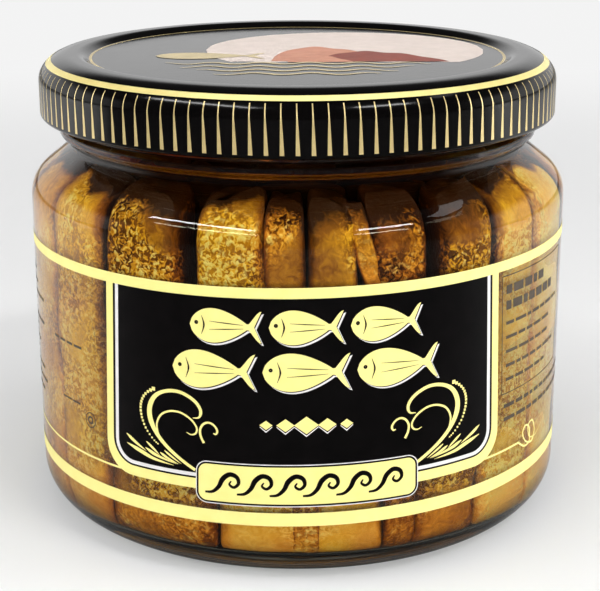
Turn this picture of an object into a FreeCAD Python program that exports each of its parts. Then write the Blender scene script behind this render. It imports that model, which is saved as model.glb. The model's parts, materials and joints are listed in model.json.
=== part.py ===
"""Squat clear glass jar of smoked sardines in oil, shut with a lacquered twist-off lid.

Millimetres. The origin is the centre of the base, on the surface that the jar
stands on. +Z is up, and the front of the label faces -Y.
Every round piece is one outline of radius and height, turned about Z.
"""
import FreeCAD, Part
import math
import os

# ---------------------------------------------------------------- driving sizes

# Glass body
body_radius = 42.0          # outside, at the straight side
wall = 2.5                  # glass at the side, shoulder and neck
heel_round = 6.5            # outside, between the base and the side
inner_heel_round = 4.8
stand_ring_radius = 33.0    # inner edge of the flat ring that the jar stands on
push_up_centre = 1.5        # rise of the underside at its middle
push_up_edge = 0.9          # rise just inside the stand ring
push_up_run = 1.4           # radial run of that rise
push_up_round = 0.8
base_glass = 3.2            # floor thickness over the stand ring

# Shoulder and neck
shoulder_corner = 51.9      # height where the side's line meets the shoulder cone
shoulder_slope = 38.0       # degrees of the cone above the horizontal
shoulder_round = 5.2
neck_radius = 35.3
neck_fillet = 1.6

# Finish: transfer bead, plain wall, thread ridges and sealing rim
neck_height = 1.1           # straight neck between the cone and the bead
bead_height = 2.3
bead_step = 1.9             # how far the bead stands out of the neck
bead_slope = 0.6            # height of the bead's sloping upper and lower sides
bead_round = 0.5
finish_step = 1.3           # the same for the plain wall above it
finish_height = 9.0         # bead top to sealing rim
rim_round = 1.1
thread_starts = 6
thread_reach = 1.8          # how far a ridge stands out of the finish
thread_foot = 1.5           # its height at the finish wall
thread_crest = 0.6          # its height at the crest
thread_span = 50.0          # degrees that one ridge covers
thread_fall = 1.6           # how far it drops along the span
thread_taper = 0.15         # share of the span in which each end grows out of the wall
thread_steps = 10           # straight stretches along one ridge

# Lid
skirt_clearance = 1.4       # between a thread crest and the skirt's inner face
lid_sheet = 0.3
lid_shoulder_run = 4.8      # width of the rounded edge, seen from above
lid_shoulder_drop = 3.8     # its height
panel_margin = 0.4          # panel's edge inside the mouth
panel_drop = 0.8            # panel below the crest of the lid's ring
ring_ramp = 1.25            # radial run of the step up from the panel
ring_foot_round = 0.5
ring_crest_round = 2.2
bead_clearance = 1.1        # between the bead and the bottom of the curl
curl_radius = 0.6
curl_turn = 255.0           # degrees that the edge is rolled
lug_angle = 11.0            # degrees that one lug covers
lug_place = 0.8             # where a lug sits along its ridge, from the high end
lug_height = 0.9
lug_lift = 0.1              # lug above the bottom of the curl
lug_clearance = 0.5         # between a lug and the finish wall
thread_clearance = 0.25     # between a lug and the low end of its ridge

# Sealing compound, contents and label
seal_height = 1.0           # rim to the lid's crest
seal_inner_margin = 1.0     # compound's inner edge outside the mouth
seal_outer_margin = 1.0     # its outer edge outside the finish wall
headspace = 3.4             # rim to the oil
label_bottom = 9.1
label_height = 35.5
label_film = 0.10
label_glue = 0.03
label_gap = 7.0             # bare glass between the label's ends, at the back

# ---------------------------------------------------------------- derived sizes

inner_radius = body_radius - wall
mouth_radius = neck_radius - wall
slope = math.radians(shoulder_slope)
neck_start = shoulder_corner + (body_radius - neck_radius) * math.tan(slope)
inner_corner = shoulder_corner + wall * math.tan(slope) - wall / math.cos(slope)
inner_neck_start = inner_corner + (inner_radius - mouth_radius) * math.tan(slope)
bead_bottom = neck_start + neck_height
bead_top = bead_bottom + bead_height
rim_height = bead_top + finish_height
finish_radius = neck_radius + finish_step
bead_radius = neck_radius + bead_step
thread_crest_radius = finish_radius + thread_reach

skirt_radius = thread_crest_radius + skirt_clearance + lid_sheet
lid_top = rim_height + seal_height + lid_sheet
panel_height = lid_top - panel_drop
panel_radius = mouth_radius - panel_margin
crest_radius = skirt_radius - lid_shoulder_run
skirt_bottom = bead_top + bead_clearance
curl_height = skirt_bottom + curl_radius
lug_bottom = skirt_bottom + lug_lift
thread_low = lug_bottom + lug_height + thread_clearance

seal_inner_radius = mouth_radius + seal_inner_margin
seal_outer_radius = finish_radius + seal_outer_margin
oil_level = rim_height - headspace
label_radius = body_radius + label_glue

origin = FreeCAD.Vector(0, 0, 0)
up = FreeCAD.Vector(0, 0, 1)
full_turn = 360.0


# ---------------------------------------------------------------- outlines

def point(radius, height, angle=0.0):
    """A point at a radius and height, turned about Z by an angle in degrees."""
    turn = math.radians(angle)
    return FreeCAD.Vector(radius * math.cos(turn), radius * math.sin(turn), height)


def line(start, end):
    return Part.LineSegment(start, end).toShape()


def rounded(corners):
    """Lines through (radius, height, rounding) corners, with a tangent arc at each rounding."""
    points = [point(radius, height) for radius, height, _ in corners]
    edges = []
    end = points[0]
    for before, corner, after, (_, _, rounding) in zip(points, points[1:], points[2:], corners[1:]):
        into = (corner - before).normalize()
        out = (after - corner).normalize()
        half = into.getAngle(out) / 2
        first = corner - into * rounding * math.tan(half)
        last = corner + out * rounding * math.tan(half)
        edges.append(line(end, first))
        if rounding > 0:
            bulge = rounding * (1 / math.cos(half) - 1)
            middle = corner + (out - into).normalize() * bulge
            edges.append(Part.Arc(first, middle, last).toShape())
        end = last
    edges.append(line(end, points[-1]))
    return edges


def turned(edges, angle=full_turn):
    """The solid made by turning a closed outline about Z, or one that ends on the Z axis."""
    first = edges[0].Vertexes[0].Point
    last = edges[-1].Vertexes[-1].Point
    if first.distanceToPoint(last) > 1e-6:
        edges = edges + [line(last, first)]
    return Part.Face(Part.Wire(edges)).revolve(origin, up, angle)


def inside_corners():
    """The inner face of the glass, from the middle of the floor to the straight neck."""
    return [
        (0, base_glass + push_up_centre, 0),
        (inner_radius, base_glass, inner_heel_round),
        (inner_radius, inner_corner, shoulder_round - wall),
        (mouth_radius, inner_neck_start, neck_fillet + wall),
    ]


# ---------------------------------------------------------------- glass

def jar_shell():
    underside = [
        (0, push_up_centre, 0),
        (stand_ring_radius - push_up_run, push_up_edge, push_up_round),
        (stand_ring_radius, 0, push_up_round),
    ]
    side = [
        (body_radius, 0, heel_round),
        (body_radius, shoulder_corner, shoulder_round),
        (neck_radius, neck_start, neck_fillet),
    ]
    bead = [
        (neck_radius, bead_bottom, bead_round),
        (bead_radius, bead_bottom + bead_slope, bead_round),
        (bead_radius, bead_top - bead_slope, bead_round),
        (finish_radius, bead_top, bead_round),
    ]
    rim = [
        (finish_radius, rim_height, rim_round),
        (mouth_radius, rim_height, rim_round),
    ]
    inside = inside_corners()[::-1]
    return turned(rounded(underside + side + bead + rim + inside))


def thread_section(share, angle):
    """The closed outline across a ridge, at a share of its span from the high end."""
    ends = min(share, 1 - share) / thread_taper
    reach = thread_reach * min(1.0, ends)
    root = finish_radius - wall / 4
    low = thread_low + thread_fall * (1 - share)
    slant = (thread_foot - thread_crest) / 2
    crest = finish_radius + reach
    if ends < 1:
        slant = slant + (thread_crest / 2 - 0.1) * (1 - ends)
    corners = [
        point(root, low, angle),
        point(crest, low + slant, angle),
        point(crest, low + thread_foot - slant, angle),
        point(root, low + thread_foot, angle),
    ]
    return Part.makePolygon(corners + corners[:1])


def thread_ridge(start_angle):
    sections = []
    for step in range(thread_steps + 1):
        share = step / thread_steps
        sections.append(thread_section(share, start_angle + thread_span * share))
    return Part.makeLoft(sections, True, True)


def glass_jar():
    pitch = full_turn / thread_starts
    ridges = [thread_ridge(number * pitch) for number in range(thread_starts)]
    return jar_shell().fuse(ridges).removeSplitter()


# ---------------------------------------------------------------- lid

def ramp_angle():
    return math.atan2(panel_drop, ring_ramp)


def lid_top_edges(inset):
    """The lid's face from its middle to the skirt, moved in from the outer face by inset."""
    shift = inset * math.tan(ramp_angle() / 2)
    edges = rounded([
        (0, panel_height - inset, 0),
        (panel_radius + shift, panel_height - inset, ring_foot_round + inset),
        (panel_radius + ring_ramp + shift, lid_top - inset, ring_crest_round - inset),
        (crest_radius, lid_top - inset, 0),
    ])
    centre = point(crest_radius, lid_top - lid_shoulder_drop)
    ellipse = Part.Ellipse(
        centre + point(lid_shoulder_run - inset, 0),
        centre + point(0, lid_shoulder_drop - inset),
        centre,
    )
    edges.append(Part.ArcOfEllipse(ellipse, 0, math.pi / 2).toShape())
    return edges


def curl_edge(radius):
    """The rolled edge's arc, from the skirt down, in and up."""
    centre = point(skirt_radius - curl_radius, curl_height)
    turn = math.radians(curl_turn)
    start, middle, end = [centre + point(radius * math.cos(a), -radius * math.sin(a))
                          for a in (0, turn / 2, turn)]
    return Part.Arc(start, middle, end).toShape(), start, end


def closed_face(edges):
    return Part.Face(Part.Wire(Part.sortEdges(edges)[0]))


def lid_shell():
    shoulder_foot = lid_top - lid_shoulder_drop
    outer_curl, outer_start, outer_end = curl_edge(curl_radius)
    inner_curl, inner_start, inner_end = curl_edge(curl_radius - lid_sheet)
    edges = lid_top_edges(0) + lid_top_edges(lid_sheet)
    edges.append(line(point(skirt_radius, shoulder_foot), outer_start))
    edges.append(line(point(skirt_radius - lid_sheet, shoulder_foot), inner_start))
    edges.append(line(outer_end, inner_end))
    edges.append(line(point(0, panel_height), point(0, panel_height - lid_sheet)))
    return closed_face(edges + [outer_curl, inner_curl]).revolve(origin, up, full_turn)


def ring_sector(inner, outer, low, high, angle):
    """A ring of rectangular section, or the stretch of one that starts at +X."""
    corners = [point(inner, low), point(outer, low), point(outer, high), point(inner, high)]
    return Part.Face(Part.makePolygon(corners + corners[:1])).revolve(origin, up, angle)


def lug(middle_angle):
    """A stretch of the curl that is pressed in under a thread ridge."""
    inner = finish_radius + lug_clearance
    solid = ring_sector(inner, skirt_radius - curl_radius, lug_bottom, lug_bottom + lug_height, lug_angle)
    solid.rotate(origin, up, middle_angle - lug_angle / 2)
    return solid


def lid():
    pitch = full_turn / thread_starts
    lugs = [lug(number * pitch + thread_span * lug_place) for number in range(thread_starts)]
    return lid_shell().fuse(lugs).removeSplitter()


def under_lid():
    """The space under the lid's top, down to where the skirt starts."""
    foot = lid_top - lid_shoulder_drop
    edges = lid_top_edges(lid_sheet)
    edges.append(line(point(skirt_radius - lid_sheet, foot), point(0, foot)))
    edges.append(line(point(0, foot), point(0, panel_height - lid_sheet)))
    return closed_face(edges).revolve(origin, up, full_turn)


def sealing_ring():
    """The compound that fills the lid's ring over the rim."""
    ring = ring_sector(seal_inner_radius, seal_outer_radius, rim_height, lid_top, full_turn)
    return ring.common(under_lid())


# ---------------------------------------------------------------- contents and label

def oil():
    """The oil and all that is sunk in it, up to its level in the neck."""
    surface = [(mouth_radius, oil_level, 0), (0, oil_level, 0)]
    return turned(rounded(inside_corners() + surface))


def label():
    """The clear film round the side, open at the back."""
    gap_angle = math.degrees(label_gap / label_radius)
    top = label_bottom + label_height
    film = ring_sector(label_radius, label_radius + label_film, label_bottom, top, full_turn - gap_angle)
    film.rotate(origin, up, 90 + gap_angle / 2)
    return film


# ---------------------------------------------------------------- files

def main():
    pieces = {
        "glass_jar": glass_jar(),
        "lid": lid(),
        "sealing_ring": sealing_ring(),
        "oil": oil(),
        "label": label(),
    }
    os.makedirs("parts", exist_ok=True)
    for name, shape in pieces.items():
        solids = shape.Solids
        if len(solids) != 1 or not solids[0].isValid():
            raise ValueError(name + " is not one valid solid")
        solids[0].exportStep("parts/" + name + ".step")
        print(name, round(shape.Volume / 1000, 2), "cm3")


main()
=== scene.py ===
"""Squat clear glass jar of smoked sardines in oil, with a black and gold lid.

Sizes in this script are millimetres until make_mesh turns them into metres.
Angles go round the jar from its front, which faces -Y, towards +X.
"""
import json
import math

import bpy
import numpy as np
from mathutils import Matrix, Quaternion, Vector

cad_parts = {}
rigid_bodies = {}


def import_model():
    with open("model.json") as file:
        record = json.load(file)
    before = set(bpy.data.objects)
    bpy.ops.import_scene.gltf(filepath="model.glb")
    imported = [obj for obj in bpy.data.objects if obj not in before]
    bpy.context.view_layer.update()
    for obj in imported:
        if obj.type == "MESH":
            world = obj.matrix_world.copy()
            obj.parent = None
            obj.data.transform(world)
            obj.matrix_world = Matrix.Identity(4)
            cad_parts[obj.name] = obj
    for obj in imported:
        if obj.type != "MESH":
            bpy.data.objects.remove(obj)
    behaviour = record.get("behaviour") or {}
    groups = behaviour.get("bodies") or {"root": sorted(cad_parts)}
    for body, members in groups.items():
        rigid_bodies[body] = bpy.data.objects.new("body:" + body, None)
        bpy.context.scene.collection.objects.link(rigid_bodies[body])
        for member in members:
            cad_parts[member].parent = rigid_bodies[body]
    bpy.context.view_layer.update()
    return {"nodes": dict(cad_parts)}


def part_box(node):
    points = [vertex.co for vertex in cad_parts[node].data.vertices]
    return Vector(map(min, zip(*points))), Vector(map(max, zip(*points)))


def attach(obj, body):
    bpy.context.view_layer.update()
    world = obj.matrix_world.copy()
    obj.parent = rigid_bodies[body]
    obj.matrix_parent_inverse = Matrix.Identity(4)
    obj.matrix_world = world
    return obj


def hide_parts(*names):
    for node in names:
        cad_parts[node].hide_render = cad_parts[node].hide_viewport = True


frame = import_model()

MM = 0.001
FULL_TURN = 2 * math.pi

# ---------------- sizes

_, glass_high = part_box("glass_jar")
_, oil_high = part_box("oil")
lid_low, lid_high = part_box("lid")
label_low, label_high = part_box("label")

body_radius = round(glass_high.x / MM, 1)
inner_radius = round(oil_high.x / MM, 1)
wall = body_radius - inner_radius
rim_height = glass_high.z / MM
oil_level = oil_high.z / MM
lid_crest = lid_high.z / MM
skirt_bottom = lid_low.z / MM
skirt_radius = round(lid_high.x / MM, 1)
film_bottom = label_low.z / MM
film_top = label_high.z / MM

# glass outline
push_up_centre = 1.5
push_up_edge = 0.9
push_up_run = 1.4
push_up_round = 0.8
stand_ring_radius = 33.0
heel_round = 6.5
inner_heel_round = 4.8
base_glass = 3.2
shoulder_corner = 51.9
shoulder_slope = math.radians(38.0)
shoulder_round = 5.2
neck_radius = 35.3
neck_fillet = 1.6
bead_radius = 37.2
finish_radius = 36.6
finish_height = 9.0
bead_height = 2.3
bead_slope = 0.6
bead_round = 0.5
rim_round = 1.1
mouth_radius = neck_radius - wall
neck_start = shoulder_corner + (body_radius - neck_radius) * math.tan(shoulder_slope)
inner_corner = shoulder_corner + wall * math.tan(shoulder_slope) - wall / math.cos(shoulder_slope)
inner_neck = inner_corner + (inner_radius - mouth_radius) * math.tan(shoulder_slope)
bead_top = rim_height - finish_height
bead_bottom = bead_top - bead_height
oil_bite = 0.15             # how far the oil reaches into the glass
oil_rise = 0.25             # how far it climbs where it meets the glass
oil_rise_run = 1.2
oil_rise_round = 1.5

# thread and lugs, with angles in degrees
thread_starts = 6
thread_pitch = 360 / thread_starts
thread_from = 90.0          # where the first ridge starts
thread_span = 50.0          # what one ridge covers
thread_taper = 0.15         # share of the span in which each end grows out of the wall
thread_reach = 1.8
thread_low = 63.0
thread_fall = 1.6
thread_foot = 1.5
thread_crest = 0.25         # flat share of a ridge's half height
lug_place = 40.0            # from a ridge's start to the middle of its lug
lug_half = 4.0
lug_fade = 2.0
lug_height = 1.1
lug_reach = 1.7

# lid outline
lid_sheet = 0.3
panel_height = lid_crest - 0.8
panel_radius = 32.4
ring_ramp = 1.25
ring_foot_round = 0.5
ring_crest_round = 2.2
crest_radius = 35.3
lid_shoulder_run = skirt_radius - crest_radius
lid_shoulder_drop = 3.8
curl_radius = 0.6
curl_turn = 255.0           # degrees that the edge is rolled

# print
label_middle = math.radians(1.3)    # where the middle of the front print sits
label_lean = 0.0138                 # the label's band rises this much to the right
label_flare = 0.0014                # how much wider the front panel is, for each millimetre down
flare_from = 30.0
flare_half = 36.0                   # the panel's flare starts to fade this far from its middle
flare_fade = 12.0
film_inner = body_radius + 0.01
film_outer = body_radius + 0.03
film_gap = math.radians(9.5)        # bare glass at the back
print_step = 0.008                  # from one layer of ink to the next
DEGREE = math.radians(1) * body_radius      # label millimetres in one degree

# fish
skin_values = ("tone", "warm", "glint")
fish_ring = 34.4            # how far from the axis the outer fish stand
fish_depth = 10.5           # their size along the radius
glass_gap = 0.32            # between a fish and the glass
brown_zone = 13.0           # below this height the skin is browner, is painted lighter and shines less
brown_fade = 5.0
sight_spread = 1.06         # from an angle seen on the glass to the fish's own

ROUND_STEPS = 256           # points round the jar

# ---------------- arrays


def rounded(corners, turn_step=4.0, run_step=1.2):
    """Outline through (radius, height, rounding) corners.

    Each corner becomes the arc that touches both of its lines, and each line
    between two arcs is cut into even steps.
    """
    spots = np.array([corner[:2] for corner in corners], float)
    pieces = [spots[:1]]
    for before, corner, after, given in zip(spots, spots[1:], spots[2:], corners[1:]):
        into = (corner - before) / np.linalg.norm(corner - before)
        out = (after - corner) / np.linalg.norm(after - corner)
        half = math.acos(np.clip(into @ out, -1, 1)) / 2
        rounding = max(given[2], 1e-3)
        reach = rounding * math.tan(half)
        side = np.array([-into[1], into[0]]) * np.sign(into[0] * out[1] - into[1] * out[0])
        centre = corner - into * reach + side * rounding
        steps = max(3, int(math.degrees(2 * half) / turn_step) + 1)
        angle = np.linspace(0, 2 * half, steps)[:, None]
        arc = centre + rounding * (into * np.sin(angle) - side * np.cos(angle))
        pieces.append(straight(pieces[-1][-1], arc[0], run_step))
        pieces.append(arc)
    pieces.append(straight(pieces[-1][-1], spots[-1], run_step))
    pieces.append(spots[-1:])
    return np.concatenate(pieces)


def straight(start, end, step):
    """The points between two others on their line, ends left out."""
    count = int(np.linalg.norm(end - start) / step)
    share = np.linspace(0, 1, count + 2)[1:-1, None]
    return start + (end - start) * share


def smooth_path(spots, count):
    """A curve through all the spots: cubic Hermite spans with tangents (next - last) / 2."""
    spots = np.array(spots, float)
    ends = np.vstack([2 * spots[0] - spots[1], spots, 2 * spots[-1] - spots[-2]])
    tangents = (ends[2:] - ends[:-2]) / 2
    place = np.linspace(0, len(spots) - 1 - 1e-9, count)
    first = place.astype(int)
    share = (place - first)[:, None]
    square = share * share
    cube = square * share
    return (spots[first] * (2 * cube - 3 * square + 1)
            + tangents[first] * (cube - 2 * square + share)
            + spots[first + 1] * (3 * square - 2 * cube)
            + tangents[first + 1] * (cube - square))


def waves(x, y, z, pitch, seed, count=14):
    """Smooth unevenness from about -1 to 1: a sum of sines, each along its own random direction."""
    draw = np.random.default_rng(seed)
    ways = draw.normal(size=(count, 3))
    ways /= np.linalg.norm(ways, axis=1)[:, None]
    lengths = pitch * draw.uniform(0.6, 1.7, count)
    phases = draw.uniform(0, FULL_TURN, count)
    total = np.zeros(np.broadcast(x, y, z).shape)
    for way, length, phase in zip(ways, lengths, phases):
        total += np.sin((x * way[0] + y * way[1] + z * way[2]) * FULL_TURN / length + phase)
    return total / math.sqrt(count)


def round_jar(angle, radius, height):
    """Points at an angle from the front: x = r sin a, y = -r cos a, z = height."""
    angle, radius, height = np.broadcast_arrays(angle, radius, height)
    return np.stack([radius * np.sin(angle), -radius * np.cos(angle), height], axis=-1)


def pairs(across, height):
    """Two sets of values spread into one grid of pairs."""
    return np.stack(np.broadcast_arrays(across, height), -1)


def ease(share):
    """A smooth step from 0 to 1: 3 s^2 - 2 s^3, flat outside that."""
    share = np.clip(share, 0, 1)
    return share * share * (3 - 2 * share)


# ---------------- meshes


def surface(points, closed=False, first=None, last=None):
    """A grid of points (rows, columns, 3) as corners and faces.

    Each cell is one four-cornered face, closed joins the last column to the
    first, and first and last are the poles that shut the two ends.
    """
    rows, columns = points.shape[:2]
    number = np.arange(rows * columns).reshape(rows, columns)
    if closed:
        number = np.concatenate([number, number[:, :1]], axis=1)
    faces = np.stack([number[:-1, :-1], number[:-1, 1:], number[1:, 1:], number[1:, :-1]], -1)
    faces = [faces.reshape(-1, 4)]
    spots = [points.reshape(-1, 3)]
    tip = rows * columns
    if first is not None:
        edge = number[0]
        faces.append(np.stack([np.full(len(edge) - 1, tip), edge[1:], edge[:-1]], -1))
        spots.append(np.reshape(first, (1, 3)))
        tip += 1
    if last is not None:
        edge = number[-1]
        faces.append(np.stack([edge[:-1], edge[1:], np.full(len(edge) - 1, tip)], -1))
        spots.append(np.reshape(last, (1, 3)))
    return np.concatenate(spots), faces


def turned(outline, turns=ROUND_STEPS, shape=None):
    """An outline of radius and height carried round Z, shut at both ends on the axis.

    shape(angle, radius, height) may move the points, for threads and lugs.
    """
    angle = np.linspace(0, FULL_TURN, turns, endpoint=False)[None, :]
    open_part = outline[1:-1]
    radius = open_part[:, :1] + 0 * angle
    height = open_part[:, 1:] + 0 * angle
    if shape is not None:
        radius, height = shape(angle, radius, height)
    poles = [np.array([0, 0, outline[end, 1]]) for end in (0, -1)]
    return surface(round_jar(angle, radius, height), True, poles[0], poles[1])


def put(name, data):
    """A new object in the scene, at the origin."""
    made = bpy.data.objects.new(name, data)
    bpy.context.scene.collection.objects.link(made)
    return made


def make_mesh(name, surfaces, material, attributes=None):
    """One mesh object out of surfaces, in metres, with float attributes on its points."""
    counts = np.cumsum([0] + [len(points) for points, _ in surfaces])
    points = np.concatenate([points for points, _ in surfaces]) * MM
    faces = [part + start for (_, parts), start in zip(surfaces, counts) for part in parts]
    corners = np.concatenate([part.ravel() for part in faces])
    sizes = np.concatenate([np.full(len(part), part.shape[1]) for part in faces])
    mesh = bpy.data.meshes.new(name)
    mesh.vertices.add(len(points))
    mesh.vertices.foreach_set("co", points.astype(np.float32).ravel())
    mesh.loops.add(len(corners))
    mesh.loops.foreach_set("vertex_index", corners.astype(np.int32))
    mesh.polygons.add(len(sizes))
    starts = np.concatenate([[0], np.cumsum(sizes)[:-1]])
    mesh.polygons.foreach_set("loop_start", starts.astype(np.int32))
    mesh.update(calc_edges=True)
    mesh.validate()
    mesh.polygons.foreach_set("use_smooth", np.full(len(mesh.polygons), True))
    for key, values in (attributes or {}).items():
        layer = mesh.attributes.new(key, "FLOAT", "POINT")
        layer.data.foreach_set("value", np.concatenate(values).astype(np.float32))
    mesh.materials.append(material)
    return put(name, mesh)


def make_piece(name, surfaces, material, attributes=None):
    """A mesh object that rides the root body."""
    piece = make_mesh(name, surfaces, material, attributes)
    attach(piece, "root")
    return piece


# ---------------- materials


def new_material(name):
    """An empty node material, its tree and its output node."""
    material = bpy.data.materials.new(name)
    material.use_nodes = True
    tree = material.node_tree
    tree.nodes.clear()
    return material, tree, tree.nodes.new("ShaderNodeOutputMaterial")


def add(tree, kind, settings=None, **inputs):
    """A node with its settings, and its inputs by name: a socket is linked, a value is set."""
    node = tree.nodes.new("ShaderNode" + kind)
    for key, value in (settings or {}).items():
        setattr(node, key, value)
    for key, value in inputs.items():
        socket = node.inputs[int(key[1:])] if key[1:].isdigit() else node.inputs[key.replace("_", " ")]
        if isinstance(value, bpy.types.NodeSocket):
            tree.links.new(value, socket)
        else:
            socket.default_value = value
    return node


def maths(tree, operation, *values, clamp=False):
    """One Math node on sockets or numbers."""
    inputs = {"_" + str(place): value for place, value in enumerate(values)}
    return add(tree, "Math", {"operation": operation, "use_clamp": clamp}, **inputs).outputs[0]


def passage(tree, value, start, end, low, high):
    """A smooth passage from low to high while the value goes from start to end."""
    return add(tree, "MapRange", {"interpolation_type": "SMOOTHSTEP"}, Value=value, From_Min=start,
               From_Max=end, To_Min=low, To_Max=high).outputs[0]


def ramp(tree, factor, stops):
    """A colour ramp from (place, colour) stops."""
    node = tree.nodes.new("ShaderNodeValToRGB")
    elements = node.color_ramp.elements
    while len(elements) < len(stops):
        elements.new(0.5)
    for element, (place, colour) in zip(elements, stops):
        element.position = place
        element.color = (*colour, 1)
    tree.links.new(factor, node.inputs["Fac"])
    return node.outputs["Color"]


def place_of(tree):
    return add(tree, "TexCoord").outputs["Object"]


def noise(tree, scale, detail=3.0, rough=0.55, **more):
    """Noise on Object coordinates, scale in turns for each metre."""
    return add(tree, "TexNoise", Vector=place_of(tree), Scale=scale, Detail=detail,
               Roughness=rough, **more).outputs["Fac"]


def mottled(tree, scale, detail, dark, light):
    """Two near colours in soft patches."""
    return ramp(tree, noise(tree, scale, detail), [(0.3, dark), (0.7, light)])


def bump(tree, height, distance, strength=1.0, normal=None):
    inputs = {"Height": height, "Distance": distance, "Strength": strength}
    if normal is not None:
        inputs["Normal"] = normal
    return add(tree, "Bump", **inputs).outputs["Normal"]


def principled(tree, out, **inputs):
    """A Principled shader on the material's surface."""
    shader = add(tree, "BsdfPrincipled", **inputs).outputs[0]
    tree.links.new(shader, out.inputs["Surface"])
    return shader


def lets_lamps_in(tree, out, shader, tint):
    """The shader, except that lamp light passes straight through with a tint."""
    clear = add(tree, "BsdfTransparent", Color=(*tint, 1))
    path = add(tree, "LightPath")
    mix = add(tree, "MixShader", _0=path.outputs["Is Shadow Ray"], _1=shader,
              _2=clear.outputs[0])
    tree.links.new(mix.outputs[0], out.inputs["Surface"])


def glass_material():
    material, tree, out = new_material("clear_glass")
    tone = ramp(tree, noise(tree, 60, 2), [(0.35, (0.95, 0.975, 0.96)), (0.65, (0.98, 0.99, 0.98))])
    shader = principled(tree, out, Base_Color=tone, Roughness=0.01, IOR=1.5, Transmission_Weight=1.0,
                        Normal=bump(tree, noise(tree, 45, 2), 0.0008, 0.06))
    lets_lamps_in(tree, out, shader, (0.98, 0.99, 0.98))
    return material


def oil_material():
    material, tree, out = new_material("golden_oil")
    tone = mottled(tree, 30, 2, (1.0, 0.93, 0.74), (1.0, 0.96, 0.80))
    shader = principled(tree, out, Base_Color=tone, Roughness=0.0, IOR=1.47, Transmission_Weight=1.0,
                        Specular_Tint=(0, 0, 0, 1))
    lets_lamps_in(tree, out, shader, (1.0, 0.96, 0.76))
    volume = add(tree, "VolumeAbsorption", Color=(0.90, 0.70, 0.0, 1), Density=95.0)
    tree.links.new(volume.outputs[0], out.inputs["Volume"])
    return material


def coat(name, tone, rough, relief, **more):
    """A matt or shiny coat, uneven in colour, gloss and height.

    Each of the three starts with a noise's scale and detail. Two colours follow in tone,
    two roughnesses in rough, and a bump's distance and strength in relief.
    """
    material, tree, out = new_material(name)
    gloss = add(tree, "MapRange", Value=noise(tree, *rough[:2]), To_Min=rough[2], To_Max=rough[3])
    principled(tree, out, Base_Color=mottled(tree, *tone), Roughness=gloss.outputs[0],
               Normal=bump(tree, noise(tree, *relief[:2]), *relief[2:]), **more)
    return material


def ink(name, dark, light, rough, shine, metal=0.0):
    """Ink with faint unevenness in its colour and gloss."""
    return coat(name, (420, 5, dark, light), (700, 3, rough * 0.85, rough * 1.15),
                (1500, 3, 0.00002, 0.3), Specular_IOR_Level=shine, Metallic=metal)


def skin_material():
    """Smoked skin in an oily gold, browner where it is warm, with painted highlights on its wrinkles
    where it glints.

    The wrinkles are a distorted noise drawn out to full strength, 4.6 noise - 2.1, kept from 0 to 1; they
    brighten the colour as a painted highlight and also make the bump.
    Thin curly lines run where the noise passes its middle value: 1 - 15 |noise - 0.5|, kept above 0; they
    too are a painted highlight.
    The small flecks, painted glints of pale gold, are 9 noise - 5, kept from 0 to 1.
    The tone attribute brings in the painted shade and light set in fish_body.
    """
    material, tree, out = new_material("smoked_fish_skin")
    tone, warm, glint = [add(tree, "Attribute", {"attribute_name": name}).outputs["Fac"]
                         for name in skin_values]

    def blend(value, gain, base, clamp=False):
        return maths(tree, "MULTIPLY_ADD", value, gain, base, clamp=clamp)

    grain = noise(tree, 650, 5, 0.65, Distortion=1.2)
    patches = noise(tree, 190, 3)
    blotches = noise(tree, 75, 2)
    wrinkles = noise(tree, 1250, 1.0, 0.5, Distortion=1.2)
    away = maths(tree, "ABSOLUTE", blend(wrinkles, 1.0, -0.5))
    folds = blend(wrinkles, 4.6, -2.1, True)
    lines = blend(away, -15.0, 1.0, True)
    # painted highlight: the wrinkles and lines where the skin glints brighten its colour, and they also
    # make the bump
    raised_and_painted_glint = maths(tree, "MULTIPLY", blend(lines, 0.20, blend(folds, 0.85, 0.0)), glint)
    level = blend(tone, 0.80, blend(patches, 0.42, blend(grain, 0.50, -0.62)))
    # painted highlight: glinting patches are darker, with the raised wrinkles and lines painted bright on
    # them
    level = blend(raised_and_painted_glint, 0.80, blend(blotches, 0.30, blend(glint, -0.22, level)))
    gold = ramp(tree, level, [
        (0.05, (0.022, 0.006, 0.001)),
        (0.26, (0.23, 0.080, 0.005)),
        (0.47, (0.60, 0.275, 0.013)),
        (0.66, (0.93, 0.52, 0.030)),
        (0.90, (1.0, 0.80, 0.24)),
    ])
    amber = ramp(tree, level, [
        (0.05, (0.025, 0.006, 0.001)),
        (0.30, (0.27, 0.070, 0.006)),
        (0.55, (0.72, 0.27, 0.028)),
        (0.85, (0.98, 0.52, 0.12)),
    ])
    colour = add(tree, "MixRGB", Fac=warm, Color1=gold, Color2=amber).outputs[0]
    # painted glints: small pale gold flecks mixed into the colour where the skin glints
    spots = blend(noise(tree, 1050, 1.0, 0.5, Distortion=0.7), 9.0, -5.0, True)
    painted_glint_flecks = maths(tree, "MULTIPLY", spots, glint)
    painted_glint_flecks = maths(tree, "MULTIPLY", painted_glint_flecks, blend(level, 2.2, -0.45, True))
    colour = add(tree, "MixRGB", Fac=painted_glint_flecks, Color1=colour, Color2=(1.0, 0.84, 0.30, 1)).outputs[0]
    relief = bump(tree, raised_and_painted_glint, 0.00014, 1.0, bump(tree, grain, 0.0005, 0.5))
    principled(tree, out, Base_Color=colour, Roughness=blend(glint, -0.18, 0.40),
               Metallic=blend(glint, 0.28, 0.08), Specular_IOR_Level=0.15, Normal=relief)
    return material


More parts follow.
